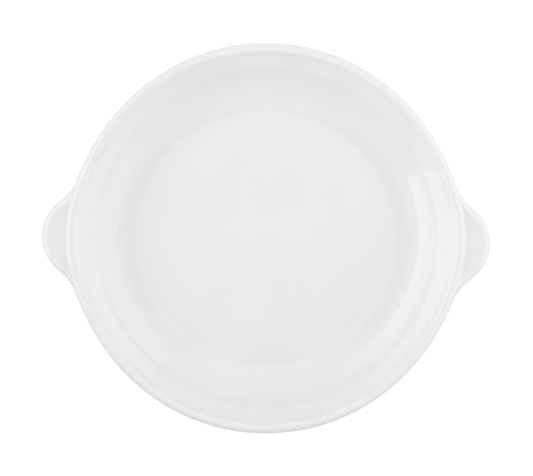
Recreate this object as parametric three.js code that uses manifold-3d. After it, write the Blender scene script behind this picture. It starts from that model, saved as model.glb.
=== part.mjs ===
// Round stoneware casserole dish with two lug handles.
// Millimetres, +Z up. The origin is on the table under the middle of the dish, and the lugs lie near X.

import * as THREE from "three";
import { mergeVertices } from "three/addons/utils/BufferGeometryUtils.js";
import Module from "manifold-3d";

const wasm = await Module();
wasm.setup();

// Whole dish
const RIM_DIAMETER = 280; // outside of the rolled rim, away from the lugs
const HEIGHT = 39; // table to rim crest
const FLOOR_THICKNESS = 6.5;

// Foot ring
const FOOT_HEIGHT = 5.5;
const FOOT_WIDTH = 8;
const FOOT_INSET = 3; // from the edge of the flat underside
const FOOT_EDGE_RADIUS = 1.5;

// Inside of the wall, from the floor up: a cove, then two steps drawn up by the fingers, with a slightly
// hollow band above the lower one and a straight band above the upper one
const COVE_RUN = 26.3;
const COVE_RISE = 11;
const LOWER_STEP_RUN = 3.8;
const LOWER_BAND_RUN = 7.1;
const LOWER_BAND_RISE = 6.4;
const UPPER_STEP_RUN = 1.4;
const UPPER_STEP_RISE = 2.2;
const UPPER_BAND_RUN = 2.7;
const UPPER_BAND_SLOPE = 43; // degrees; the band runs straight into the roll of the rim
const BAND_HOLLOW = 0.15; // depth of the lower band below its chord

// Rim
const RIM_ROLL_RADIUS = 3.8;
const OUTER_LIP_HEIGHT = 1.7; // upright face between the shoulder and the roll
const SHOULDER_RADIUS = 7; // outside, where the slanting wall turns upright
const RIM_PULL = 3.8; // how far the outside of the rim is drawn out in front of each lug
const WALL_PULL_SHARE = 0.18; // share of that pull at the foot of the upper band
const PULL_SPREAD = 20; // degrees round the rim over which the pull fades

// Lug handles, before the rim's pull carries them outwards
const LUG_TURN = 0.55; // degrees that both lugs lie to the front of the X axis
const LUG_REACH = 17.7; // tip beyond the rim
const LUG_TIP_RADIUS = 31.6;
const LUG_BLEND_RADIUS = 37; // hollow sweep from the tip's round into the rim
const LUG_FEATHER = 11; // degrees of that sweep left off, where the lug would thin to nothing
const LUG_THICKNESS = 10;
const LUG_DROP = 2.2; // rim crest down to the lug's flat top
const LUG_EDGE_RADIUS = 4.5;
const LUG_EDGE_LIMIT = 0.46; // most of the lug's thickness that one rounded edge may take
const JOINT_GAP = 0.3; // slip joint between lug and wall

// Facets
const TURN_SEGMENTS = 72;
const FACET_SAG = 0.02; // how far a facet may lie from its arc
const LUG_EDGE_FACETS = 5;
const MERGE_DISTANCE = 1e-4;

// Derived places, as radius from the axis and height above the table
const RIM_RADIUS = RIM_DIAMETER / 2;
const ROLL_CENTRE = new THREE.Vector2(RIM_RADIUS - RIM_ROLL_RADIUS, HEIGHT - RIM_ROLL_RADIUS);
const FLOOR_LEVEL = FOOT_HEIGHT + FLOOR_THICKNESS;
const ROLL_START = radians(90 + UPPER_BAND_SLOPE); // angle on the roll at which the upper band meets it
const UPPER_BAND_TOP = new THREE.Vector2(Math.cos(ROLL_START), Math.sin(ROLL_START))
  .multiplyScalar(RIM_ROLL_RADIUS)
  .add(ROLL_CENTRE);
const UPPER_BAND_RISE = UPPER_BAND_RUN * Math.tan(radians(UPPER_BAND_SLOPE));
const UPPER_STEP_TOP = below(UPPER_BAND_TOP, UPPER_BAND_RUN, UPPER_BAND_RISE);
const LOWER_BAND_TOP = below(UPPER_STEP_TOP, UPPER_STEP_RUN, UPPER_STEP_RISE);
const LOWER_STEP_TOP = below(LOWER_BAND_TOP, LOWER_BAND_RUN, LOWER_BAND_RISE);
const COVE_TOP = new THREE.Vector2(LOWER_STEP_TOP.x - LOWER_STEP_RUN, FLOOR_LEVEL + COVE_RISE);
const FLOOR_RADIUS = COVE_TOP.x - COVE_RUN;
const COVE_RADIUS = (COVE_RUN ** 2 + COVE_RISE ** 2) / (2 * COVE_RISE);
const COVE_CENTRE = new THREE.Vector2(FLOOR_RADIUS, FLOOR_LEVEL + COVE_RADIUS);
const SHOULDER_CENTRE = new THREE.Vector2(RIM_RADIUS - SHOULDER_RADIUS, ROLL_CENTRE.y - OUTER_LIP_HEIGHT);

/**
 * Degrees to radians.
 * @param {number} degrees
 * @returns {number}
 */
function radians(degrees) {
  return THREE.MathUtils.degToRad(degrees);
}

/**
 * A point of the inside wall, nearer the axis and lower than another.
 * @param {THREE.Vector2} point
 * @param {number} run
 * @param {number} rise
 * @returns {THREE.Vector2}
 */
function below(point, run, rise) {
  return new THREE.Vector2(point.x - run, point.y - rise);
}

/**
 * Points along a circular arc.
 * @param {THREE.Vector2} centre
 * @param {number} radius
 * @param {number} from start angle, in radians
 * @param {number} to end angle, in radians; less than the start for a clockwise arc
 * @returns {THREE.Vector2[]}
 */
function arc(centre, radius, from, to) {
  const facetAngle = 2 * Math.acos(1 - FACET_SAG / radius);
  const steps = Math.ceil(Math.abs(to - from) / facetAngle);
  const curve = new THREE.EllipseCurve(centre.x, centre.y, radius, radius, from, to, to < from);
  return curve.getPoints(steps);
}

/**
 * Points along a band of the inside wall, slightly hollow between its two edges.
 * @param {THREE.Vector2} from lower edge
 * @param {THREE.Vector2} to upper edge
 * @returns {THREE.Vector2[]}
 */
function hollowBand(from, to) {
  const chord = to.clone().sub(from);
  const radius = (chord.lengthSq() / 4 + BAND_HOLLOW ** 2) / (2 * BAND_HOLLOW);
  const inwards = new THREE.Vector2(-chord.y, chord.x).normalize();
  const centre = from.clone().add(to).multiplyScalar(0.5).addScaledVector(inwards, radius - BAND_HOLLOW);
  return arc(centre, radius, from.clone().sub(centre).angle(), to.clone().sub(centre).angle());
}

/**
 * Outside of the dish from the rim crest to the edge of the flat underside.
 * @param {number} clearance how far outside the clay the line lies
 * @returns {THREE.Vector2[]}
 */
function outsideLine(clearance) {
  const outerCoveRadius = COVE_RADIUS + FLOOR_THICKNESS;
  const across = SHOULDER_CENTRE.clone().sub(COVE_CENTRE);
  const turn = Math.acos((outerCoveRadius - SHOULDER_RADIUS) / across.length());
  const wallNormal = Math.atan2(across.y, across.x) - turn;
  return [
    ...arc(ROLL_CENTRE, RIM_ROLL_RADIUS + clearance, Math.PI / 2, 0),
    ...arc(SHOULDER_CENTRE, SHOULDER_RADIUS + clearance, 0, wallNormal),
    ...arc(COVE_CENTRE, outerCoveRadius + clearance, wallNormal, -Math.PI / 2),
  ];
}

/**
 * Share of the rim's pull at a point: none on the floor, little on the wall up to the upper step, then more
 * and more over the roll, and all of it on the outside of the rim and on the lugs' flat top.
 * @param {number} radius distance from the axis
 * @param {number} height above the table
 * @returns {number}
 */
function pullShare(radius, height) {
  const onWall = WALL_PULL_SHARE * share(radius, FLOOR_RADIUS, UPPER_STEP_TOP.x);
  const onRim = (1 - WALL_PULL_SHARE) * share(radius, UPPER_STEP_TOP.x, RIM_RADIUS);
  return Math.min(onWall + onRim, share(height, FLOOR_LEVEL, ROLL_CENTRE.y));
}

/**
 * How far a value lies between two others, from 0 to 1.
 * @param {number} value
 * @param {number} from
 * @param {number} to
 * @returns {number}
 */
function share(value, from, to) {
  return THREE.MathUtils.clamp((value - from) / (to - from), 0, 1);
}

/**
 * Draws a geometry outwards in front of the lugs.
 * @param {THREE.BufferGeometry} geometry changed in place
 * @returns {THREE.BufferGeometry}
 */
function pullTowardsLugs(geometry) {
  const position = geometry.attributes.position;
  const point = new THREE.Vector3();
  for (let index = 0; index < position.count; index += 1) {
    point.fromBufferAttribute(position, index);
    const radius = Math.hypot(point.x, point.y);
    const angle = Math.atan2(point.y, Math.abs(point.x)) + radians(LUG_TURN);
    const pull = RIM_PULL * Math.exp(-((angle / radians(PULL_SPREAD)) ** 2)) * pullShare(radius, point.z);
    if (pull > 0) {
      position.setXY(index, point.x * (1 + pull / radius), point.y * (1 + pull / radius));
    }
  }
  return geometry;
}

/**
 * A solid of revolution about Z.
 * @param {THREE.Vector2[]} profile points of radius and height, from the axis round to the axis
 * @returns {THREE.BufferGeometry}
 */
function turned(profile) {
  return new THREE.LatheGeometry(profile, TURN_SEGMENTS).rotateX(Math.PI / 2);
}

/**
 * A closed solid from a geometry's positions.
 * @param {THREE.BufferGeometry} geometry
 * @returns {object}
 */
function toSolid(geometry) {
  const bare = geometry.clone();
  bare.deleteAttribute("normal");
  bare.deleteAttribute("uv");
  const merged = mergeVertices(bare, MERGE_DISTANCE);
  const vertProperties = new Float32Array(merged.attributes.position.array);
  const triVerts = new Uint32Array(merged.index.array);
  return new wasm.Manifold(new wasm.Mesh({ numProp: 3, vertProperties, triVerts }));
}

/**
 * A geometry that can be drawn, from a solid.
 * @param {object} solid
 * @returns {THREE.BufferGeometry}
 */
function toGeometry(solid) {
  const mesh = solid.getMesh();
  const geometry = new THREE.BufferGeometry();
  geometry.setAttribute("position", new THREE.BufferAttribute(mesh.vertProperties, 3));
  geometry.setIndex(new THREE.BufferAttribute(mesh.triVerts, 1));
  geometry.computeVertexNormals();
  return geometry;
}

/** Floor, wall and rim, turned in one piece and then drawn out towards the lugs. */
function bowlGeometry() {
  const underside = [new THREE.Vector2(FLOOR_RADIUS, FOOT_HEIGHT), new THREE.Vector2(0, FOOT_HEIGHT)];
  const inside = [
    new THREE.Vector2(0, FLOOR_LEVEL),
    ...arc(COVE_CENTRE, COVE_RADIUS, -Math.PI / 2, COVE_TOP.clone().sub(COVE_CENTRE).angle() - 2 * Math.PI),
    ...hollowBand(LOWER_STEP_TOP, LOWER_BAND_TOP),
    UPPER_STEP_TOP,
    ...arc(ROLL_CENTRE, RIM_ROLL_RADIUS, ROLL_START, Math.PI / 2),
  ];
  const profile = withoutRepeats([...inside, ...outsideLine(0), ...underside].reverse());
  return pullTowardsLugs(turned(profile));
}

/**
 * Drops points that repeat the one before.
 * @param {THREE.Vector2[]} points
 * @returns {THREE.Vector2[]}
 */
function withoutRepeats(points) {
  const isNew = (point, index) => index === 0 || point.distanceTo(points[index - 1]) > MERGE_DISTANCE;
  return points.filter(isNew);
}

/** Plan of a lug on +X: a round tip swept into the rim on both sides, with a root inside the wall. */
function lugOutline() {
  const tipCentre = RIM_RADIUS + LUG_REACH - LUG_TIP_RADIUS;
  const blendDistance = RIM_RADIUS + LUG_BLEND_RADIUS;
  const tipToBlend = LUG_TIP_RADIUS + LUG_BLEND_RADIUS;
  const blendAngle = Math.acos(
    (blendDistance ** 2 + tipCentre ** 2 - tipToBlend ** 2) / (2 * blendDistance * tipCentre),
  );
  const blendX = blendDistance * Math.cos(blendAngle);
  const blendY = blendDistance * Math.sin(blendAngle);
  const tipAngle = Math.atan2(blendY, blendX - tipCentre);
  const featherEnd = Math.PI - blendAngle - radians(LUG_FEATHER);
  const rootX = RIM_RADIUS - LUG_REACH;
  const rootY = rootX * Math.tan(blendAngle);
  const sweep = arc(new THREE.Vector2(blendX, -blendY), LUG_BLEND_RADIUS, featherEnd, Math.PI - tipAngle);
  const tip = arc(new THREE.Vector2(tipCentre, 0), LUG_TIP_RADIUS, -tipAngle, tipAngle);
  const mirrored = sweep.map((point) => new THREE.Vector2(point.x, -point.y)).reverse();
  const root = [new THREE.Vector2(rootX, rootY), new THREE.Vector2(rootX, -rootY)];
  return new THREE.Shape(withoutRepeats([...sweep, ...tip, ...mirrored, ...root]));
}

/** The right lug: a flat slab with rounded edges, its root shaped to the drawn-out wall and rim. */
function lugSolid() {
  const edge = Math.min(LUG_EDGE_RADIUS, LUG_EDGE_LIMIT * LUG_THICKNESS);
  const slab = new THREE.ExtrudeGeometry(lugOutline(), {
    depth: LUG_THICKNESS - 2 * edge,
    bevelThickness: edge,
    bevelSize: edge,
    bevelOffset: -edge,
    bevelSegments: LUG_EDGE_FACETS,
  });
  slab.translate(0, 0, HEIGHT - LUG_DROP - LUG_THICKNESS + edge).rotateZ(-radians(LUG_TURN));

  const clear = outsideLine(JOINT_GAP);
  const wallProfile = [new THREE.Vector2(0, clear[0].y), ...clear, new THREE.Vector2(0, clear.at(-1).y)];
  const wall = turned(withoutRepeats(wallProfile).reverse());

  return toSolid(pullTowardsLugs(slab)).subtract(toSolid(pullTowardsLugs(wall)));
}

/** Ring that the dish stands on, with its two standing edges rounded. */
function footRingGeometry() {
  const outer = FLOOR_RADIUS - FOOT_INSET;
  const inner = outer - FOOT_WIDTH;
  const innerEdge = new THREE.Vector2(inner + FOOT_EDGE_RADIUS, FOOT_EDGE_RADIUS);
  const outerEdge = new THREE.Vector2(outer - FOOT_EDGE_RADIUS, FOOT_EDGE_RADIUS);
  const profile = [
    new THREE.Vector2(inner, FOOT_HEIGHT),
    ...arc(innerEdge, FOOT_EDGE_RADIUS, Math.PI, 1.5 * Math.PI),
    ...arc(outerEdge, FOOT_EDGE_RADIUS, -Math.PI / 2, 0),
    new THREE.Vector2(outer, FOOT_HEIGHT),
    new THREE.Vector2(inner, FOOT_HEIGHT),
  ];
  return turned(profile);
}

/** White glaze, one material for each glazed piece. */
function glaze() {
  return new THREE.MeshStandardMaterial({ color: 0xf0eee8, roughness: 0.12, metalness: 0 });
}

/** Bare fired clay, where the dish stands in the kiln. */
function bareClay() {
  return new THREE.MeshStandardMaterial({ color: 0xd8cbb6, roughness: 0.85, metalness: 0 });
}

/** A named mesh. */
function piece(name, geometry, material) {
  const mesh = new THREE.Mesh(geometry, material);
  mesh.name = name;
  return mesh;
}

const dish = new THREE.Group();
const lug = lugSolid();
dish.add(
  piece("bowl", bowlGeometry(), glaze()),
  piece("lug_left", toGeometry(lug.mirror([1, 0, 0])), glaze()),
  piece("lug_right", toGeometry(lug), glaze()),
  piece("foot_ring", footRingGeometry(), bareClay()),
);

export default dish;
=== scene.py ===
"""Looks of a round white casserole dish with two lug handles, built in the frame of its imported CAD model."""

import logging
import math
from dataclasses import dataclass, field
from enum import Enum
from functools import reduce
from typing import ClassVar

import bpy
import numpy as np
from bpy.types import AreaLight, ID, Material, Node, NodeOutputs, NodeSocket, NodeTree, Object
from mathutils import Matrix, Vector


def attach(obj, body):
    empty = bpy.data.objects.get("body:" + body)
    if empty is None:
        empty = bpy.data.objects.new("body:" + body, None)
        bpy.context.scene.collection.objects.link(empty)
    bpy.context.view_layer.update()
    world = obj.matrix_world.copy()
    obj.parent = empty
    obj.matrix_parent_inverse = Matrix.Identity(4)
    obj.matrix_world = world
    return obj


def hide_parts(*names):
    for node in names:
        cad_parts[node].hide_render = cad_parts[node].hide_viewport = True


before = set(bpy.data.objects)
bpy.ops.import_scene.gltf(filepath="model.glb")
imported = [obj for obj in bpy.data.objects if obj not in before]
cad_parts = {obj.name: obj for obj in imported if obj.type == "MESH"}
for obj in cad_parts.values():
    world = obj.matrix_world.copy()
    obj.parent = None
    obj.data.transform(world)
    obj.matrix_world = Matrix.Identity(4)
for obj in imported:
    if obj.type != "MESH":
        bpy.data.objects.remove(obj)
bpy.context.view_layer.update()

LOG = logging.getLogger("casserole_dish")

MM = 0.001
BODY = "root"
FINE_STEP = 0.1  # distance between the points of a fine line, in millimetres
BELL_REACH = 3  # half width of the weights that round a corner, in reaches
FAR = 1000.0  # a height that no face reaches, in millimetres

Value = NodeSocket | float | int | tuple
Array = np.ndarray
Line = Array  # rows of radius and height, in millimetres


class Slot(Enum):
    """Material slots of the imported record."""

    WHITE_GLAZE = "white_glaze"
    BARE_CLAY = "bare_clay"


class Side(Enum):
    """Sides of the dish that carry a lug, as the turn about Z from +X, in degrees."""

    RIGHT = 0.0
    LEFT = 180.0


# Helpers


@dataclass
class NodeSheet:
    """Adds and links the nodes of one tree."""

    tree: NodeTree

    def feed(self, socket: NodeSocket, value: Value) -> None:
        """Give an input a link, where the value is a socket, or else a plain value."""
        if isinstance(value, NodeSocket):
            self.tree.links.new(value, socket)
        else:
            socket.default_value = value

    def add(self, kind: str, inputs: dict[str | int, Value] | None = None, **settings: object) -> Node:
        """Add a node.

        Args:
            kind: the node's type name.
            inputs: values or sockets for its inputs, by name or number.
            **settings: properties of the node, set before its inputs.

        Returns:
            The new node.
        """
        node = self.tree.nodes.new(kind)
        for name, value in settings.items():
            setattr(node, name, value)
        for key, value in (inputs or {}).items():
            self.feed(node.inputs[key], value)
        return node

    def math(self, operation: str, *values: Value) -> NodeSocket:
        """Add a Math node and return its result."""
        return self.add("ShaderNodeMath", dict(enumerate(values)), operation=operation).outputs[0]

    def whole(self, operation: str, *values: Value) -> NodeSocket:
        """Add an Integer Math node and return its result."""
        return self.add("FunctionNodeIntegerMath", dict(enumerate(values)), operation=operation).outputs[0]

    def vector(self, operation: str, *values: Value, output: str = "Vector") -> NodeSocket:
        """Add a Vector Math node and return the named result."""
        return self.add("ShaderNodeVectorMath", dict(enumerate(values)), operation=operation).outputs[output]

    def product(self, *values: Value) -> NodeSocket:
        """Multiply values together, from the first on, and return the result."""
        return reduce(lambda first, second: self.math("MULTIPLY", first, second), values)

    def parts(self, vector: Value) -> NodeOutputs:
        """Split a vector and return its X, Y and Z."""
        return self.add("ShaderNodeSeparateXYZ", {0: vector}).outputs

    def ramp(self, value: Value, low: float, high: float, start: float = 0.0, end: float = 1.0) -> NodeSocket:
        """Ease a value from start at low to end at high, and hold it outside that range."""
        inputs = {"Value": value, "From Min": low, "From Max": high, "To Min": start, "To Max": end}
        return self.add("ShaderNodeMapRange", inputs, interpolation_type="SMOOTHSTEP").outputs[0]

    def mix(self, factor: Value, first: Value, second: Value, kind: str = "RGBA") -> NodeSocket:
        """Mix two colours, or two numbers where the kind is FLOAT, and return the result."""
        place, result = {"RGBA": (6, 2), "FLOAT": (2, 0)}[kind]  # numbers of the first input and the result
        inputs = {0: factor, place: first, place + 1: second}
        return self.add("ShaderNodeMix", inputs, data_type=kind).outputs[result]

    def noise(self, place: Value, size: float, detail: float) -> NodeSocket:
        """Add a noise texture with clouds of a given size and return its value."""
        inputs = {"Vector": place, "Scale": 1 / size, "Detail": detail}
        return self.add("ShaderNodeTexNoise", inputs).outputs[0]

    def bump(self, height: Value, depth: float, strength: float = 1.0) -> NodeSocket:
        """Add a Bump node and return the bumped normal."""
        inputs = {"Strength": strength, "Distance": depth, "Height": height}
        return self.add("ShaderNodeBump", inputs).outputs[0]


def put(name: str, data: ID) -> Object:
    """Make an object of a mesh, light or camera and put it in the scene."""
    bpy.context.scene.collection.objects.link(item := bpy.data.objects.new(name, data))
    return item


# Finishes


def new_material(name: str) -> tuple[Material, NodeSheet, Node]:
    """Make a node material.

    Args:
        name: the material's name.

    Returns:
        The material, its nodes and its Principled shader.
    """
    material = bpy.data.materials.new(name)
    material.use_nodes = True
    return material, NodeSheet(material.node_tree), material.node_tree.nodes["Principled BSDF"]


@dataclass(frozen=True)
class WhiteGlaze:
    """Glossy white glaze: a faint cloud of tone, rare dark specks and a slightly uneven skin.

    Sizes are in metres, apart from the spots: place and radius of each in millimetres.
    """

    light: tuple = (0.866, 0.856, 0.853, 1.0)
    shade: tuple = (0.852, 0.842, 0.838, 1.0)
    speck: tuple = (0.36, 0.33, 0.29, 1.0)
    cloud_size: float = 0.045
    cloud_detail: float = 3.0
    cloud_range: tuple = (0.35, 0.65)
    speck_spacing: float = 0.02
    speck_share: float = 0.3
    speck_radius: float = 0.0003
    speck_edge: float = 0.5
    spots: tuple = (
        (-106.8, 4.9, 14.5, 0.8), (-53.6, 39.6, 11.5, 0.5), (-67.4, 71.5, 12.0, 0.5),
        (55.2, 5.9, 11.5, 0.5), (93.3, -2.9, 11.5, 0.6), (74.4, -44.9, 11.5, 0.35),
        (-14.6, -118.5, 23.0, 0.35), (131.5, -1.3, 35.6, 0.4),
    )
    spot_strength: float = 0.28
    spot_height: float = 0.05
    spot_core: float = 3.0
    gloss: tuple = (0.015, 0.03)
    gloss_range: tuple = (0.3, 0.7)
    skin_size: float = 0.006
    skin_detail: float = 1.0
    skin_depth: float = 0.000004
    refraction: float = 1.5

    def make(self) -> Material:
        """Build the glaze as a procedural material."""
        material, sheet, shader = new_material(Slot.WHITE_GLAZE.value)
        place = sheet.add("ShaderNodeTexCoord").outputs["Object"]
        cloud = sheet.noise(place, self.cloud_size, self.cloud_detail)
        tone = sheet.mix(sheet.ramp(cloud, *self.cloud_range), self.light, self.shade)
        specks = self._specks(sheet, place)
        sheet.feed(shader.inputs["Base Color"], sheet.mix(specks, tone, self.speck))
        sheet.feed(shader.inputs["Roughness"], sheet.ramp(cloud, *self.gloss_range, *self.gloss))
        skin = sheet.noise(place, self.skin_size, self.skin_detail)
        sheet.feed(shader.inputs["Normal"], sheet.bump(skin, self.skin_depth))
        sheet.feed(shader.inputs["IOR"], self.refraction)
        return material

    def _specks(self, sheet: NodeSheet, place: Value) -> NodeSocket:
        """Scatter small specks, one at most in each cell and only in some cells, and add the placed spots.

        Args:
            sheet: the material's nodes.
            place: the coordinate that the specks lie in.

        Returns:
            How much of the speck's colour shows, from 0 to 1.
        """
        cells = sheet.add("ShaderNodeTexVoronoi", {"Vector": place, "Scale": 1 / self.speck_spacing})
        chance = sheet.add("ShaderNodeSeparateColor", {0: cells.outputs["Color"]})
        reach = sheet.math("MULTIPLY", chance.outputs[1], self.speck_radius / self.speck_spacing)
        inside = sheet.math("SUBTRACT", 1.0, sheet.math("DIVIDE", cells.outputs["Distance"], reach))
        chosen = sheet.math("LESS_THAN", chance.outputs[0], self.speck_share)
        shown = sheet.math("MULTIPLY", sheet.ramp(inside, 0.0, self.speck_edge), chosen)
        for *centre, radius in self.spots:
            apart = sheet.vector("SUBTRACT", place, tuple(MM * size for size in centre))
            apart = sheet.vector("MULTIPLY", apart, (1.0, 1.0, self.spot_height))
            apart = sheet.vector("LENGTH", apart, output="Value")
            spot = sheet.ramp(apart, MM * radius, MM * radius / self.spot_core, 0.0, self.spot_strength)
            shown = sheet.math("MAXIMUM", shown, spot)
        return shown


@dataclass(frozen=True)
class BareClay:
    """Matt fired clay with fine grains. Sizes in metres."""

    light: tuple = (0.69, 0.6, 0.47, 1.0)
    shade: tuple = (0.55, 0.46, 0.34, 1.0)
    cloud_size: float = 0.012
    cloud_detail: float = 6.0
    cloud_range: tuple = (0.35, 0.65)
    grain_size: float = 0.0007
    grain_detail: float = 4.0
    grain_share: float = 0.4
    grain_depth: float = 0.00012
    grain_strength: float = 0.6
    dull: float = 0.82

    def make(self) -> Material:
        """Build the clay as a procedural material."""
        material, sheet, shader = new_material(Slot.BARE_CLAY.value)
        place = sheet.add("ShaderNodeTexCoord").outputs["Object"]
        cloud = sheet.noise(place, self.cloud_size, self.cloud_detail)
        grain = sheet.noise(place, self.grain_size, self.grain_detail)
        faint = sheet.math("MULTIPLY", cloud, 1 - self.grain_share)
        mixed = sheet.math("MULTIPLY_ADD", grain, self.grain_share, faint)
        tone = sheet.mix(sheet.ramp(mixed, *self.cloud_range), self.light, self.shade)
        sheet.feed(shader.inputs["Base Color"], tone)
        sheet.feed(shader.inputs["Normal"], sheet.bump(grain, self.grain_depth, self.grain_strength))
        sheet.feed(shader.inputs["Roughness"], self.dull)
        return material


# Profiles


def arc(centre: tuple[float, float], radius: float, start: float, end: float) -> Line:
    """Points along a circular arc.

    Args:
        centre: radius and height of its centre.
        radius: its radius.
        start: start angle in radians.
        end: end angle in radians.

    Returns:
        The points, from start to end.
    """
    count = math.ceil(abs(end - start) * radius / FINE_STEP) + 1
    angles = np.linspace(start, end, count)
    return np.column_stack((centre[0] + radius * np.cos(angles), centre[1] + radius * np.sin(angles)))


def spaced(line: Line, count: int, bend_length: float = 0.0) -> Line:
    """Put a number of points along a line, at equal distances or closer together where it bends.

    Args:
        line: the line's points.
        count: how many points to make.
        bend_length: length of straight line that counts as much as a bend of one radian.

    Returns:
        The new points.
    """
    steps = np.diff(line, axis=0)
    lengths = np.hypot(*steps.T)
    headings = np.unwrap(np.arctan2(steps[:, 1], steps[:, 0]))
    bends = np.abs(np.gradient(headings))
    along = np.concatenate(([0.0], np.cumsum(lengths + bend_length * bends)))
    places = np.linspace(0.0, along[-1], count)
    return np.column_stack([np.interp(places, along, column) for column in line.T])


def softened(line: Line, reach: float) -> Line:
    """Round the corners of a line, as a coat of glaze does.

    Args:
        line: the line's points. Its two ends are straight and stay where they are.
        reach: distance over which a corner is rounded.

    Returns:
        The rounded line.
    """
    length = np.hypot(*np.diff(line, axis=0).T).sum()
    points = spaced(line, round(length / FINE_STEP) + 1)
    width = math.ceil(BELL_REACH * reach / FINE_STEP)
    weights = np.exp(-0.5 * (np.arange(-width, width + 1) * FINE_STEP / reach) ** 2)
    weights /= weights.sum()
    before = 2 * points[0] - points[width:0:-1]
    after = 2 * points[-1] - points[-2:-width - 2:-1]
    padded = np.concatenate((before, points, after))
    return np.column_stack([np.convolve(column, weights, mode="valid") for column in padded.T])


@dataclass(frozen=True)
class RimPull:
    """How far the wall and rim are drawn out before each lug. Sizes in millimetres, angles in radians."""

    floor: tuple
    step_radius: float
    crest_radius: float
    full_height: float
    step_share: float = 0.55
    amount: float = 4.1
    spread: float = math.radians(20.0)
    lug_turn: float = math.radians(0.55)

    def share(self, radius: Array, height: Array) -> Array:
        """Share of the pull: none on the floor, more up the wall, all of it from the rim's crest outwards.

        Args:
            radius: distances from the axis.
            height: heights above the table.

        Returns:
            The shares, from 0 to 1.
        """
        radii = (self.floor[0], self.step_radius, self.crest_radius)
        across = np.interp(radius, radii, (0.0, self.step_share, 1.0))
        upwards = np.interp(height, (self.floor[1], self.full_height), (0.0, 1.0))
        return np.minimum(across, upwards)

    def radius(self, radius: Array, height: Array, angle: Array) -> Array:
        """Distances from the axis once points are drawn out, at angles from the lug's middle."""
        return radius + self.amount * np.exp(-((angle / self.spread) ** 2)) * self.share(radius, height)


# The lathe


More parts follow.
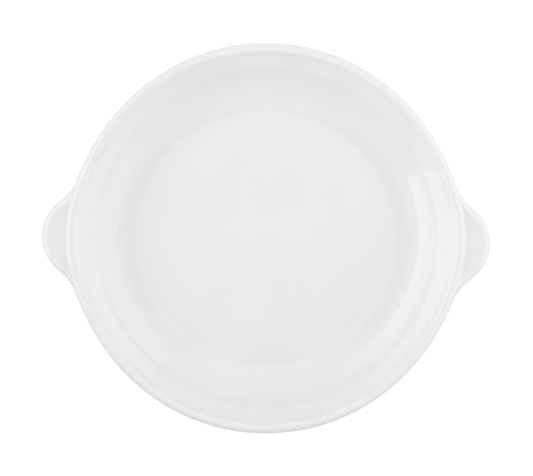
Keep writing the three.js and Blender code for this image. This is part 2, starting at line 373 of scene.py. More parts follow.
@dataclass
class ClayLathe:
    """Geometry Nodes tree that turns a profile about Z and draws its upper part out towards the lugs."""

    seam_width: float = 1e-6
    calm_depth: tuple = (4 * MM, 9 * MM)
    calm_slope: tuple = (0.1, 0.4)
    wave_detail: float = 1.0
    sheet: NodeSheet = field(init=False)

    # Kind of each input, and its value for a piece with no pull and no waves
    INPUTS: ClassVar[dict[str, tuple]] = {
        "Columns": ("NodeSocketInt", 1),
        "Pull": ("NodeSocketFloat", 0.0),
        "Spread": ("NodeSocketFloat", 1.0),
        "Lug Turn": ("NodeSocketFloat", 0.0),
        "Crest Level": ("NodeSocketFloat", 1.0),
        "Wave Depth": ("NodeSocketFloat", 0.0),
        "Wave Size": ("NodeSocketFloat", 1.0),
        "Seed": ("NodeSocketFloat", 0.0),
        "Material": ("NodeSocketMaterial", None),
    }

    def __post_init__(self) -> None:
        """Build the tree."""
        self.sheet = sheet = NodeSheet(bpy.data.node_groups.new("clay_lathe", "GeometryNodeTree"))
        interface = sheet.tree.interface
        interface.new_socket("Profile", in_out="INPUT", socket_type="NodeSocketGeometry")
        for name, (kind, _) in self.INPUTS.items():
            interface.new_socket(name, in_out="INPUT", socket_type=kind)
        interface.new_socket("Piece", in_out="OUTPUT", socket_type="NodeSocketGeometry")
        given = sheet.add("NodeGroupInput").outputs
        skin = self._wave(given, self._turn(given))
        smooth = sheet.add("GeometryNodeSetShadeSmooth", {"Geometry": skin}).outputs[0]
        realized = sheet.add("GeometryNodeRealizeInstances", {"Geometry": smooth}).outputs[0]
        dressed = sheet.add("GeometryNodeSetMaterial", {"Geometry": realized, "Material": given["Material"]})
        sheet.add("NodeGroupOutput", {0: dressed.outputs[0]})

    def _turn(self, given: NodeOutputs) -> NodeSocket:
        """Wrap a grid round the axis, one row for each point of the profile, and draw it out to the lugs.

        Args:
            given: the tree's inputs.

        Returns:
            The closed surface.
        """
        sheet = self.sheet
        counts = sheet.add("GeometryNodeAttributeDomainSize", {"Geometry": given["Profile"]}).outputs
        rows = counts["Point Count"]
        columns = sheet.whole("ADD", given["Columns"], 1)
        grid = sheet.add("GeometryNodeMeshGrid", {"Vertices X": columns, "Vertices Y": rows}).outputs["Mesh"]
        index = sheet.add("GeometryNodeInputIndex").outputs[0]
        position = sheet.add("GeometryNodeInputPosition").outputs[0]
        sampled = sheet.add(
            "GeometryNodeSampleIndex",
            {"Geometry": given["Profile"], "Value": position, "Index": sheet.whole("MODULO", index, rows)},
            data_type="FLOAT_VECTOR",
            domain="POINT",
        )
        point = sheet.parts(sampled.outputs[0])
        column = sheet.whole("DIVIDE_FLOOR", index, rows)
        angle = sheet.math("MULTIPLY", sheet.math("DIVIDE", column, given["Columns"]), -math.tau)
        cosine = sheet.math("COSINE", angle)
        sine = sheet.math("SINE", angle)
        from_axis = sheet.math("ARCTAN2", sine, sheet.math("ABSOLUTE", cosine))
        from_lug = sheet.math("DIVIDE", sheet.math("ADD", from_axis, given["Lug Turn"]), given["Spread"])
        nearness = sheet.math("EXPONENT", sheet.product(from_lug, from_lug, -1.0))
        pull = sheet.math("MULTIPLY", given["Pull"], nearness)
        radius = sheet.math("MULTIPLY_ADD", pull, point["Y"], point["X"])
        x = sheet.math("MULTIPLY", radius, cosine)
        y = sheet.math("MULTIPLY", radius, sine)
        turned = sheet.add("ShaderNodeCombineXYZ", {0: x, 1: y, 2: point["Z"]}).outputs[0]
        placed = sheet.add("GeometryNodeSetPosition", {"Geometry": grid, "Position": turned}).outputs[0]
        seam = {"Geometry": placed, "Distance": self.seam_width}
        return sheet.add("GeometryNodeMergeByDistance", seam).outputs[0]

    def _wave(self, given: NodeOutputs, surface: NodeSocket) -> NodeSocket:
        """Make the inside slightly uneven, as glaze lies, with the rim and the outside left true.

        Args:
            given: the tree's inputs.
            surface: the turned surface.

        Returns:
            The surface with its waves.
        """
        sheet = self.sheet
        position = sheet.add("GeometryNodeInputPosition").outputs[0]
        normal = sheet.add("GeometryNodeInputNormal").outputs[0]
        scale = sheet.math("DIVIDE", 1.0, given["Wave Size"])
        noise = sheet.add(
            "ShaderNodeTexNoise",
            {"Vector": position, "W": given["Seed"], "Scale": scale, "Detail": self.wave_detail},
            noise_dimensions="4D",
        ).outputs[0]
        under_rim = sheet.math("SUBTRACT", given["Crest Level"], sheet.parts(position)["Z"])
        below = sheet.ramp(under_rim, *self.calm_depth)
        facing_up = sheet.ramp(sheet.parts(normal)["Z"], *self.calm_slope)
        swing = sheet.math("MULTIPLY_ADD", noise, 2.0, -1.0)
        offset = sheet.product(swing, given["Wave Depth"], sheet.product(below, facing_up))
        moved = sheet.vector("SCALE", normal)
        sheet.feed(moved.node.inputs["Scale"], offset)
        return sheet.add("GeometryNodeSetPosition", {"Geometry": surface, "Offset": moved}).outputs[0]

    def turn(self, name: str, profile: Line, shares: Array, inputs: dict[str, object]) -> Object:
        """Turn a profile into a finished mesh object.

        Args:
            name: the piece's name.
            profile: radius and height in millimetres, with the clay on the right of its course.
            shares: share of the pull at each point of the profile.
            inputs: values for the tree's inputs, by name. Those left out take their plain values.

        Returns:
            The piece, with a plain mesh.
        """
        points = [(radius * MM, share, height * MM) for (radius, height), share in zip(profile, shares)]
        mesh = bpy.data.meshes.new(name + "_profile")
        mesh.from_pydata(points, [], [])
        piece = put(name, mesh)
        modifier = piece.modifiers.new("clay_lathe", "NODES")
        modifier.node_group = self.sheet.tree
        items = self.sheet.tree.interface.items_tree
        sockets = {item.name: item.identifier for item in items if item.in_out == "INPUT"}
        for key, (_, plain) in self.INPUTS.items():
            modifier[sockets[key]] = inputs.get(key, plain)
        evaluated = piece.evaluated_get(bpy.context.evaluated_depsgraph_get())
        piece.data = bpy.data.meshes.new_from_object(evaluated)
        piece.modifiers.remove(modifier)
        piece.data.name = name
        piece.data.materials.clear()
        piece.data.materials.append(inputs["Material"])
        bpy.data.meshes.remove(mesh)
        return piece


# Pieces of the dish


def settle(piece: Object, slot: Slot, *nodes: str) -> None:
    """Join a finished piece to the frame and log it.

    Args:
        piece: the piece.
        slot: the record's slot that it takes its finish from. Not used.
        *nodes: the CAD nodes that it stands for.
    """
    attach(piece, BODY)
    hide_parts(*nodes)
    triangles = sum(len(face.vertices) - 2 for face in piece.data.polygons)
    LOG.info("%s: %d triangles, stands for %s", piece.name, triangles, ", ".join(nodes))


@dataclass
class Bowl:
    """Floor, wall and rolled rim, turned in one piece. Sizes in millimetres."""

    rim_radius: float = 140.0
    height: float = 39.0
    floor_thickness: float = 6.5
    foot_height: float = 5.5
    cove_run: float = 27.3
    cove_rise: float = 11.43
    lower_step_run: float = 3.4
    lower_band: tuple = (6.3, 5.9)
    upper_step: tuple = (1.8, 1.75)
    upper_band_run: float = 2.316
    upper_band_slope: float = math.radians(56.5)
    band_hollow: float = 0.15
    roll_radius: float = 5.0
    inner_roll_radius: float = 1.3
    land_run: float = 0.5
    outer_lip: float = 0.5
    full_pull_height: float = 35.2
    shoulder_radius: float = 7.0
    glaze_round: float = 0.6
    rows: int = 150
    columns: int = 640
    bend_length: float = 9.0
    wave_depth: float = 0.015
    wave_size: float = 26.0
    wave_seed: float = 4.0

    def __post_init__(self) -> None:
        """Work out the places that follow from the sizes, as radius and height."""
        self.floor_level = self.foot_height + self.floor_thickness
        self.roll_centre = (self.rim_radius - self.roll_radius, self.height - self.roll_radius)
        self.inner_roll_centre = (self.roll_centre[0] - self.land_run, self.height - self.inner_roll_radius)
        self.roll_start = math.pi / 2 + self.upper_band_slope
        upper_band_top = (
            self.inner_roll_centre[0] + self.inner_roll_radius * math.cos(self.roll_start),
            self.inner_roll_centre[1] + self.inner_roll_radius * math.sin(self.roll_start),
        )
        upper_band = (self.upper_band_run, self.upper_band_run * math.tan(self.upper_band_slope))
        self.upper_step_top = np.subtract(upper_band_top, upper_band)
        self.lower_band_top = np.subtract(self.upper_step_top, self.upper_step)
        self.lower_step_top = np.subtract(self.lower_band_top, self.lower_band)
        self.floor_radius = self.lower_step_top[0] - self.lower_step_run - self.cove_run
        self.cove_radius = (self.cove_run**2 + self.cove_rise**2) / (2 * self.cove_rise)
        self.cove_centre = (self.floor_radius, self.floor_level + self.cove_radius)
        self.pull = RimPull(
            floor=(self.floor_radius, self.floor_level),
            step_radius=self.upper_step_top[0],
            crest_radius=self.roll_centre[0],
            full_height=self.full_pull_height,
        )
        self.skin = self._skin()

    def _band(self, low: tuple, high: tuple) -> Line:
        """A slightly hollow band of the inside wall.

        Args:
            low: its lower edge.
            high: its upper edge.

        Returns:
            Points from the lower edge to the upper one.
        """
        chord = math.dist(low, high)
        radius = (chord**2 / 4 + self.band_hollow**2) / (2 * self.band_hollow)
        heading = math.atan2(high[1] - low[1], high[0] - low[0])
        rise = radius - self.band_hollow
        centre = (
            (low[0] + high[0]) / 2 - rise * math.sin(heading),
            (low[1] + high[1]) / 2 + rise * math.cos(heading),
        )
        half = math.asin(chord / 2 / radius)
        return arc(centre, radius, heading - math.pi / 2 - half, heading - math.pi / 2 + half)

    def _skin(self) -> Line:
        """The whole section, from the middle of the floor over the rim to the middle of the underside."""
        shoulder = (self.rim_radius - self.shoulder_radius, self.roll_centre[1] - self.outer_lip)
        outer_cove = self.cove_radius + self.floor_thickness
        across = (shoulder[0] - self.cove_centre[0], shoulder[1] - self.cove_centre[1])
        turn = math.acos((outer_cove - self.shoulder_radius) / math.hypot(*across))
        wall_normal = math.atan2(across[1], across[0]) - turn
        cove_end = math.asin(self.cove_run / self.cove_radius) - math.pi / 2
        section = np.concatenate((
            [(0.0, self.floor_level)],
            arc(self.cove_centre, self.cove_radius, -math.pi / 2, cove_end),
            self._band(self.lower_step_top, self.lower_band_top),
            [self.upper_step_top],
            arc(self.inner_roll_centre, self.inner_roll_radius, self.roll_start, math.pi / 2),
            arc(self.roll_centre, self.roll_radius, math.pi / 2, 0.0),
            arc(shoulder, self.shoulder_radius, 0.0, wall_normal),
            arc(self.cove_centre, outer_cove, wall_normal, -math.pi / 2),
            [(0.0, self.foot_height)],
        ))
        return softened(section, self.glaze_round)

    def build(self, lathe: ClayLathe, finish: Material) -> None:
        """Turn the bowl.

        Args:
            lathe: the tree that turns it.
            finish: its material.
        """
        profile = spaced(self.skin, self.rows, self.bend_length)
        profile[[0, -1], 0] = 0.0
        shares = self.pull.share(profile[:, 0], profile[:, 1])
        inputs = {
            "Columns": self.columns,
            "Pull": self.pull.amount * MM,
            "Spread": self.pull.spread,
            "Lug Turn": self.pull.lug_turn,
            "Crest Level": self.height * MM,
            "Wave Depth": self.wave_depth * MM,
            "Wave Size": self.wave_size * MM,
            "Seed": self.wave_seed,
            "Material": finish,
        }
        piece = lathe.turn("bowl_glazed", profile, shares, inputs)
        settle(piece, Slot.WHITE_GLAZE, "bowl")


@dataclass
class Lug:
    """A flat lug handle, swept into the rim on both sides. Sizes in millimetres, before the rim's pull."""

    bowl: Bowl
    side: Side
    reach: float = 17.15
    uneven: float = 0.2
    tip_radius: float = 31.6
    blend_radius: float = 37.0
    thickness: float = 10.0
    drop: float = 2.2
    edge_run: float = 5.8
    edge_drop: float = 4.5
    top_fillet: float = 0.6
    under_fillet: float = 2.6
    sink: float = 0.03
    dive_start: float = 0.2
    dive_length: float = 11.0
    dive_bend: float = 40.0
    top_root: float = 137.6
    under_root: float = 134.5
    columns: int = 200
    face_rows: int = 110
    grid_step: float = 0.025
    root_margin: float = 3.0
    tip_margin: float = 1.0
    edge_points: int = 40
    edge_cells: int = 2

    def __post_init__(self) -> None:
        """Work out the plan: a round tip, a hollow sweep and an end that bends into the wall."""
        self.reach += self.uneven if self.side is Side.RIGHT else -self.uneven
        self.top_level = self.bowl.height - self.drop
        self.grid_start = self.under_root - self.root_margin
        self.tip_centre = self.bowl.rim_radius + self.reach - self.tip_radius
        blend_distance = self.bowl.rim_radius + self.blend_radius
        span = self.tip_radius + self.blend_radius
        cosine = (blend_distance**2 + self.tip_centre**2 - span**2) / (2 * blend_distance * self.tip_centre)
        blend_angle = math.acos(cosine)
        self.blend_centre = np.array([cosine, math.sin(blend_angle)]) * blend_distance
        self.tip_angle = math.atan2(self.blend_centre[1], self.blend_centre[0] - self.tip_centre)
        touch = self.bowl.rim_radius + self.dive_start
        twice = 2 * self.blend_radius * blend_distance
        cosine = (self.blend_radius**2 + blend_distance**2 - touch**2) / twice
        self.dive_angle = blend_angle + math.pi + math.acos(cosine)
        self.end_normal = np.array([math.cos(self.dive_angle), math.sin(self.dive_angle)])
        self.dive_point = self.blend_centre + self.blend_radius * self.end_normal
        self.course = np.array([self.end_normal[1], -self.end_normal[0]])
        end = self.dive_point + self.dive_length * self.course
        self.end_angle = math.atan2(end[1], end[0])

    def _inset(self, x: Array, y: Array) -> Array:
        """Distance inside the lug's plan outline.

        Args:
            x: places along the lug's axis.
            y: places across it.

        Returns:
            Distances, which are negative outside the outline.
        """
        y = np.abs(y)
        tip = self.tip_radius - np.hypot(x - self.tip_centre, y)
        across = np.stack((x - self.blend_centre[0], y - self.blend_centre[1]))
        sweep = np.hypot(*across) - self.blend_radius
        past = np.stack((x - self.dive_point[0], y - self.dive_point[1]))
        along = np.tensordot(self.course, past, 1)
        dive = np.tensordot(self.end_normal, past, 1) - along**2 / (2 * self.dive_bend)
        seen = np.mod(np.arctan2(across[1], across[0]), math.tau)
        inset = np.where(seen < self.dive_angle, dive, sweep)
        return np.where(np.arctan2(y, x - self.tip_centre) < self.tip_angle, tip, inset)

    def _bulge(self, inset: Array) -> Array:
        """How far the rounded edge brings a face back at distances inside the outline, zero or negative."""
        hollow = 1 - np.clip(inset / self.edge_run, 0.0, 1.0)
        return self.edge_drop * (np.sqrt(1 - hollow**2) - 1)

    def _closed_over(self, heights: Array, radius: float) -> Array:
        """Fill hollows that a ball of a given radius, rolling on top, can't reach.

        Args:
            heights: heights on an even grid of radii, one row for each column of the lug.
            radius: the ball's radius.

        Returns:
            The filled heights.
        """
        reach = int(radius / self.grid_step)
        shifts = np.arange(-reach, reach + 1)
        caps = np.sqrt(radius**2 - (shifts * self.grid_step) ** 2)
        for sign in (1, -1):
            padded = np.pad(heights, ((0, 0), (reach, reach)), mode="edge") * sign
            width = heights.shape[1]
            windows = (padded[:, reach + s:reach + s + width] + cap for s, cap in zip(shifts, caps))
            heights = reduce(np.maximum, windows) * sign
        return heights

    def _outside(self, radii: Array) -> tuple[Array, Array]:
        """The bowl's outside near the rim, sunk a little into the clay, as an upper and a lower line.

        Args:
            radii: radii at which the lines are wanted.

        Returns:
            Heights of the roll, and of the shoulder and wall below it.
        """
        skin = self.bowl.skin
        course = np.gradient(skin, axis=0)
        course /= np.hypot(*course.T)[:, None]
        sunk = skin + self.sink * np.column_stack((course[:, 1], -course[:, 0]))
        crest = int(np.argmax(sunk[:, 1]))
        widest = int(np.argmax(sunk[:, 0]))
        foot = widest + int(np.argmax(sunk[widest:, 0] < self.grid_start))
        roll = np.interp(radii, *sunk[crest:widest + 1].T, right=-FAR)
        wall = np.interp(radii, *sunk[foot:widest:-1].T, right=FAR)
        return roll, wall

    def _sections(self, angles: Array) -> Array:
        """Sections through the lug in upright planes through the axis.

        Args:
            angles: the planes' angles from the lug's axis.

        Returns:
            For each angle, a closed row of radius and height: the top from its root outwards, then the
            underside back.
        """
        tip = self.bowl.rim_radius + self.reach
        radii = np.arange(self.grid_start, tip + self.tip_margin, self.grid_step)
        inset = self._inset(np.outer(np.cos(angles), radii), np.outer(np.sin(angles), radii))
        bulge = self._bulge(inset)
        roll, wall = self._outside(radii)
        top = np.where(inset >= 0, self.top_level + bulge, -FAR)
        under = np.where(inset >= 0, self.top_level - self.thickness - bulge, FAR)
        top = self._closed_over(np.maximum(top, roll), self.top_fillet)
        under = -self._closed_over(-np.minimum(under, wall), self.under_fillet)
        return np.array([
            np.concatenate((
                self._row(radii, high, depth, self.top_root),
                self._row(radii, low, depth, self.under_root)[::-1],
            ))
            for high, low, depth in zip(top, under, inset)
        ])

    def _row(self, radii: Array, heights: Array, inset: Array, root: float) -> Line:
        """One face of a section, from its root to the outline, exact on the rounded edge.

        Args:
            radii: the grid of radii.
            heights: the face's heights on that grid.
            inset: distances inside the outline on that grid.
            root: radius at which the face starts, inside the clay.

        Returns:
            The face's points.
        """
        edge = np.interp(0.0, -inset, radii)
        last_cells = self.edge_cells * self.grid_step
        inner = radii[(radii > root) & (radii < edge - last_cells)]
        close = self.edge_run * (1 - np.cos(np.linspace(math.pi / 2, 0.0, self.edge_points)))
        outer = np.interp(-close, -inset, radii)
        places = np.unique(np.concatenate(([root], inner, outer[outer > root], [edge])))
        inside = inset >= 0
        plain = np.interp(places, radii[inside], heights[inside])
        depth = np.interp(places, radii, inset)
        bulge = self._bulge(depth)
        upper = heights[inside][-1] > self.top_level - self.thickness / 2
        exact = self.top_level + bulge if upper else self.top_level - self.thickness - bulge
        face = np.column_stack((places, np.where(depth < last_cells, exact, plain)))
        return spaced(face, self.face_rows)

    def build(self, finish: Material) -> None:
        """Make the lug as a closed mesh, with its root inside the wall.

        Args:
            finish: its material.
        """
        name = "lug_" + self.side.name.lower()
        angles = np.linspace(-self.end_angle, self.end_angle, self.columns)
        sections = self._sections(angles)
        forward = -self.bowl.pull.lug_turn if self.side is Side.RIGHT else self.bowl.pull.lug_turn
        turn = angles[:, None] + math.radians(self.side.value) + forward
        radius = self.bowl.pull.radius(sections[:, :, 0], sections[:, :, 1], angles[:, None])
        places = np.stack((radius * np.cos(turn), radius * np.sin(turn), sections[:, :, 1]), axis=-1) * MM
        rows = sections.shape[1]
        column, row = np.meshgrid(np.arange(self.columns - 1), np.arange(rows), indexing="ij")
        near, far, after = column * rows, (column + 1) * rows, (row + 1) % rows
        quads = np.stack((near + row, near + after, far + after, far + row), axis=-1)
        last = (self.columns - 1) * rows
        ends = [list(range(rows - 1, -1, -1)), list(range(last, last + rows))]
        faces = quads.reshape(-1, 4).tolist() + ends
        mesh = bpy.data.meshes.new(name + "_glazed")
        mesh.from_pydata(places.reshape(-1, 3).tolist(), [], faces)
        mesh.polygons.foreach_set("use_smooth", [True] * len(mesh.polygons))
        mesh.materials.append(finish)
        piece = put(name + "_glazed", mesh)
        settle(piece, Slot.WHITE_GLAZE, name)


@dataclass
class FootRing:
    """Bare ring that the dish stands on. Sizes in millimetres."""

    bowl: Bowl
    width: float = 8.0
    inset: float = 3.0
    edge_radius: float = 1.5
    rows: int = 60
    columns: int = 360

    def build(self, lathe: ClayLathe, finish: Material) -> None:
        """Turn the ring.

        Args:
            lathe: the tree that turns it.
            finish: its material.
        """
        top = self.bowl.foot_height
        outer = self.bowl.floor_radius - self.inset
        inner = outer - self.width
        edge = self.edge_radius
        section = np.concatenate((
            [(inner, top), (outer, top)],
            arc((outer - edge, edge), edge, 0.0, -math.pi / 2),
            arc((inner + edge, edge), edge, -math.pi / 2, -math.pi),
            [(inner, top)],
        ))
        profile = np.concatenate((spaced(section, self.rows)[:-1], section[:1]))
        inputs = {"Columns": self.columns, "Material": finish}
        piece = lathe.turn("foot_ring_bare", profile, np.zeros(self.rows), inputs)
        settle(piece, Slot.BARE_CLAY, "foot_ring")


# Studio


@dataclass(frozen=True)
class Softbox:
    """An upright soft panel beside the dish that shows as a reflection in the glaze. Angles in degrees."""

    name: str
    azimuth: float
    half_angle: float
    low: float
    high: float
    distance: float
    brightness: float
    glow: float
    glow_distance: float = 0.5
    crown: float = 0.0
    weak_end: float = 1.0
    weak_share: float = 0.5
    corner: float = 0.08
    edge: float = 0.03

    def build(self) -> None:
        """Put the panel in the scene: its reflection in the glaze, and the light that it sheds."""
        mirrored = self._lamp(self.name, self.distance, self.brightness)
        self._shape(mirrored.data)
        mirrored.visible_diffuse = False
        shed = self._lamp(f"{self.name}_glow", self.glow_distance, self.glow)
        shed.visible_glossy = False

    def _lamp(self, name: str, distance: float, brightness: float) -> Object:
        """Make one upright lamp that faces the dish.

        Args:
            name: the lamp's name.
            distance: how far it stands from the middle of the dish.
            brightness: how bright it looks, where 1 is white.

        Returns:
            The lamp, in the scene.
        """
        light = bpy.data.lights.new(name, "AREA")
        light.shape = "RECTANGLE"
        light.size = 2 * distance * math.tan(math.radians(self.half_angle))
        bottom, top = (distance * math.tan(math.radians(angle)) for angle in (self.low, self.high))
        light.size_y = top - bottom
        light.energy = brightness * math.pi * light.size * light.size_y
        lamp = put(name, light)
        bearing = math.radians(self.azimuth)
        lamp.location = (distance * math.cos(bearing), distance * math.sin(bearing), (bottom + top) / 2)
        facing = Vector((-math.cos(bearing), -math.sin(bearing), 0.0))
        lamp.rotation_euler = facing.to_track_quat("-Z", "Y").to_euler()
        return lamp

    def _shape(self, light: AreaLight) -> None:
        """Give the panel rounded corners and a soft edge, a brighter top and one weaker end.

        Args:
            light: the panel's light, with its size set.
        """
        light.use_nodes = True
        sheet = NodeSheet(light.node_tree)
        place = sheet.add("ShaderNodeNewGeometry").outputs["Parametric"]
        size = Vector((light.size, light.size_y, 0.0))
        centred = sheet.vector("MULTIPLY", sheet.vector("SUBTRACT", place, (0.5, 0.5, 0.0)), size)
        straight = size / 2 - Vector((self.corner, self.corner, 0.0))
        past = sheet.vector("SUBTRACT", sheet.vector("ABSOLUTE", centred), straight)
        past = sheet.vector("LENGTH", sheet.vector("MAXIMUM", past, (0.0, 0.0, 0.0)), output="Value")
        soft = sheet.ramp(past, self.corner, self.corner - self.edge)
        along = sheet.parts(place)
        crown = sheet.math("MULTIPLY_ADD", along["Y"], self.crown, 1.0)
        end = sheet.ramp(along["X"], 0.0, self.weak_share, self.weak_end)
        sheet.feed(light.node_tree.nodes["Emission"].inputs["Strength"], sheet.product(soft, crown, end))


@dataclass(frozen=True)
class Sky:
    """White light from all round, and the darker places in it that the glaze mirrors. Angles in radians."""

    level: float = 0.934
    east: float = -0.113
    north: float = -0.014
    low_gain: float = 0.044
    low_shape: tuple = (-1.5, 0.5)
    side_gain: float = 0.41
    cross_gain: float = 0.045
    mirror_level: float = 1.05
    mirror_east: float = 0.035
    mirror_north: float = 0.054
    front_depth: float = 0.004
    front_left: float = -1.88
    front_right: float = 1.23
    front_low: float = 0.084
    front_high: float = 1.15
    front_edge: float = 0.06
    front_low_edge: float = 0.03
    front_high_edge: float = 0.3
    front_low_depth: float = 0.15
    least_ahead: float = 1e-3
    back_low_depth: float = 0.24
    back_range: tuple = (0.2, 0.7)
    low_angle: float = math.radians(30.0)
    foot_angle: float = math.radians(5.0)
    gap_depth: float = 0.86
    gap_edge_share: float = 0.35
    gap_angle: float = math.radians(34.6)
    gap_core: float = math.radians(13.0)
    gap_edge: float = 0.008
    gap_sides: tuple = (0.3, 0.85)
    least_flat: float = 1e-4
    disc_angle: float = math.radians(4.6)
    disc_end: float = math.radians(5.6)
    disc_level: float = 0.81
    disc_slope: float = 7.3

    def build(self) -> None:
        """Make the scene's world."""
        world = bpy.data.worlds.new("studio")
        world.use_nodes = True
        bpy.context.scene.world = world
        sheet = NodeSheet(world.node_tree)
        sheet.tree.nodes.clear()
        view = sheet.add("ShaderNodeTexCoord").outputs["Generated"]
        toward = sheet.parts(view)
        soft = self._soft(sheet, toward)
        glossy = sheet.add("ShaderNodeLightPath").outputs["Is Glossy Ray"]
        strength = sheet.mix(glossy, soft, self._mirrored(sheet, toward), "FLOAT")
        light = sheet.add("ShaderNodeBackground", {"Color": (1.0,) * 4, "Strength": strength}).outputs[0]
        sheet.add("ShaderNodeOutputWorld", {"Surface": light})

    def _soft(self, sheet: NodeSheet, toward: NodeOutputs) -> NodeSocket:
        """The matt light: stronger from the two sides, and a little more so from the left and from low down.

        Args:
            sheet: the world's nodes.
            toward: parts of the direction looked in.

        Returns:
            The light's strength.
        """
        squares = [sheet.math("MULTIPLY", toward[axis], toward[axis]) for axis in "XYZ"]
        shapes = (
            (toward["X"], self.east),
            (toward["Y"], self.north),
            (sheet.math("MULTIPLY_ADD", squares[2], *self.low_shape), self.low_gain),
            (sheet.math("SUBTRACT", squares[0], squares[1]), self.side_gain),
            (sheet.math("MULTIPLY", toward["X"], toward["Y"]), self.cross_gain),
        )
        lean: Value = 1.0
        for shape, gain in shapes:
            lean = sheet.math("MULTIPLY_ADD", shape, gain, lean)
        return sheet.math("MULTIPLY", lean, self.level)

    def _mirrored(self, sheet: NodeSheet, toward: NodeOutputs) -> NodeSocket:
        """What the glaze mirrors: light, darker low in front and behind, with a gap and a disc overhead.

        Args:
            sheet: the world's nodes.
            toward: parts of the direction looked in.

        Returns:
            The mirrored strength.
        """
        ahead = sheet.math("MAXIMUM", sheet.math("MULTIPLY", toward["Y"], -1.0), self.least_ahead)
        across = sheet.math("DIVIDE", toward["X"], ahead)
        up = sheet.math("DIVIDE", toward["Z"], ahead)
        edges = (
            (across, self.front_left, self.front_edge),
            (across, self.front_right, -self.front_edge),
            (up, self.front_low, self.front_low_edge),
            (up, self.front_high, -self.front_high_edge),
        )
        panel = sheet.product(*(sheet.ramp(place, at - soft, at + soft) for place, at, soft in edges))
        low = sheet.ramp(toward["Z"], math.sin(self.low_angle), math.sin(self.foot_angle))
        depth = sheet.math("MULTIPLY_ADD", low, -self.front_low_depth, -self.front_depth)
        front = sheet.math("MULTIPLY_ADD", panel, depth, 1.0)
        back = sheet.math("MULTIPLY", sheet.ramp(toward["Y"], *self.back_range), low)
        back = sheet.math("MULTIPLY_ADD", back, -self.back_low_depth, 1.0)
        lean = sheet.math("MULTIPLY_ADD", toward["X"], self.mirror_east, self.mirror_level)
        lean = sheet.math("MULTIPLY_ADD", toward["Y"], self.mirror_north, lean)
        flat = sheet.math("SQRT", sheet.math("SUBTRACT", 1.0, sheet.math("POWER", toward["Z"], 2.0)))
        flat = sheet.math("MAXIMUM", flat, self.least_flat)
        beside = sheet.math("DIVIDE", sheet.math("ABSOLUTE", toward["X"]), flat)
        level = math.cos(self.gap_angle)
        edge = sheet.ramp(toward["Z"], level - self.gap_edge, level + self.gap_edge)
        core = sheet.ramp(toward["Z"], level, math.cos(self.gap_core), self.gap_edge_share)
        gap = sheet.product(edge, core, sheet.ramp(beside, *self.gap_sides))
        gap = sheet.math("MULTIPLY_ADD", gap, -self.gap_depth, 1.0)
        shaded = sheet.product(front, back, lean, gap)
        disc = sheet.ramp(toward["Z"], math.cos(self.disc_end), math.cos(self.disc_angle))
        overhead = sheet.math("MULTIPLY_ADD", toward["Y"], self.disc_slope, self.disc_level)
        return sheet.mix(disc, shaded, overhead, "FLOAT")


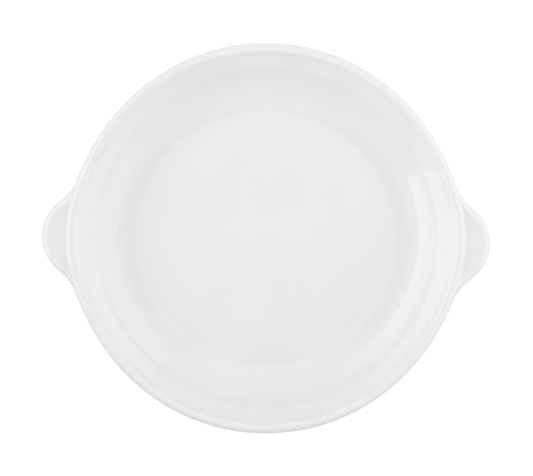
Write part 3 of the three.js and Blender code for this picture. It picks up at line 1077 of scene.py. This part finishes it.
@dataclass
class Studio:
    """Pale floor, soft sky, three soft panels and a camera that looks straight down. Sizes in metres."""

    image_width: int = 533
    rim_height: float = 0.039
    camera_distance: float = 1.2
    metres_per_pixel: float = 0.140 / 196.1
    camera_place: tuple = (0.00047, 0.00007)
    camera_roll: float = math.radians(1.1)
    sensor: float = 36.0
    floor_radius: float = 12.0
    floor_sides: int = 96
    floor_drop: float = 0.1 * MM
    floor_white: float = 0.9
    floor_tone: float = 0.14
    bounce: tuple = (0.01, 0.98)
    bounce_bearing: float = math.radians(70.0)
    bounce_reach: float = 0.3
    sky: Sky = Sky()
    panels: tuple = (
        Softbox(
            "softbox_right", 9.0, half_angle=43.8, low=5.0, high=56.4, distance=0.6, brightness=0.52,
            glow=0.31, weak_end=0.5,
        ),
        Softbox(
            "softbox_left", 163.0, half_angle=43.0, low=4.8, high=48.6, distance=0.85, brightness=0.58,
            glow=0.12, crown=2.2, weak_end=0.25,
        ),
        Softbox(
            "softbox_back", 90.0, half_angle=30.0, low=5.0, high=45.0, distance=1.0, brightness=0.05,
            glow=0.08,
        ),
    )

    def build(self) -> None:
        """Build the whole studio."""
        self._camera()
        self._floor()
        self.sky.build()
        for panel in self.panels:
            panel.build()
        bpy.context.scene.view_settings.view_transform = "Standard"

    def _camera(self) -> None:
        """Hang the camera over the dish."""
        data = bpy.data.cameras.new("camera")
        data.sensor_width = self.sensor
        pixels = self.camera_distance / self.metres_per_pixel
        data.lens = self.sensor * pixels / self.image_width
        camera = put("camera", data)
        camera.location = (*self.camera_place, self.rim_height + self.camera_distance)
        camera.rotation_euler = (0.0, 0.0, self.camera_roll)
        bpy.context.scene.camera = camera

    def _floor(self) -> None:
        """Lay the floor a little under the foot ring."""
        turn = np.linspace(0.0, math.tau, self.floor_sides, endpoint=False)
        radius = self.floor_radius
        rim = [(radius * math.cos(a), radius * math.sin(a), -self.floor_drop) for a in turn]
        mesh = bpy.data.meshes.new("floor")
        mesh.from_pydata(rim, [], [tuple(range(len(rim)))])
        mesh.materials.append(self._paper())
        floor = put("floor", mesh)

    def _paper(self) -> Material:
        """Make the floor's paper: white from above, with a faint shadow of the dish, and clear from below."""
        material, sheet, _ = new_material("floor_paper")
        sheet.tree.nodes.clear()
        path = sheet.add("ShaderNodeLightPath").outputs
        shown = sheet.math("MAXIMUM", path["Is Camera Ray"], path["Is Glossy Ray"])
        shown = sheet.math("MAXIMUM", shown, path["Is Transmission Ray"])
        place = sheet.add("ShaderNodeNewGeometry").outputs["Position"]
        bearing = (math.cos(self.bounce_bearing), math.sin(self.bounce_bearing), 0.0)
        along = sheet.vector("DOT_PRODUCT", place, bearing, output="Value")
        bounce = sheet.ramp(along, -self.bounce_reach, self.bounce_reach, *self.bounce)
        plain = sheet.add("ShaderNodeEmission", {"Strength": bounce}).outputs[0]
        toned = sheet.add("ShaderNodeBsdfDiffuse", {"Color": (self.floor_tone,) * 3 + (1.0,)}).outputs[0]
        white = sheet.add("ShaderNodeEmission", {"Strength": self.floor_white}).outputs[0]
        paper = sheet.add("ShaderNodeAddShader", {0: toned, 1: white}).outputs[0]
        upper = sheet.add("ShaderNodeMixShader", {0: shown, 1: plain, 2: paper}).outputs[0]
        behind = sheet.add("ShaderNodeNewGeometry").outputs["Backfacing"]
        clear = sheet.add("ShaderNodeBsdfTransparent").outputs[0]
        sided = sheet.add("ShaderNodeMixShader", {0: behind, 1: upper, 2: clear}).outputs[0]
        sheet.add("ShaderNodeOutputMaterial", {"Surface": sided})
        return material


def main() -> None:
    """Build the dish and the studio."""
    logging.basicConfig(level=logging.INFO, format="%(name)s: %(message)s")
    glaze = WhiteGlaze().make()
    clay = BareClay().make()
    lathe = ClayLathe()
    bowl = Bowl()
    bowl.build(lathe, glaze)
    for side in Side:
        Lug(bowl, side).build(glaze)
    FootRing(bowl).build(lathe, clay)
    Studio().build()


if __name__ == "__main__":
    main()
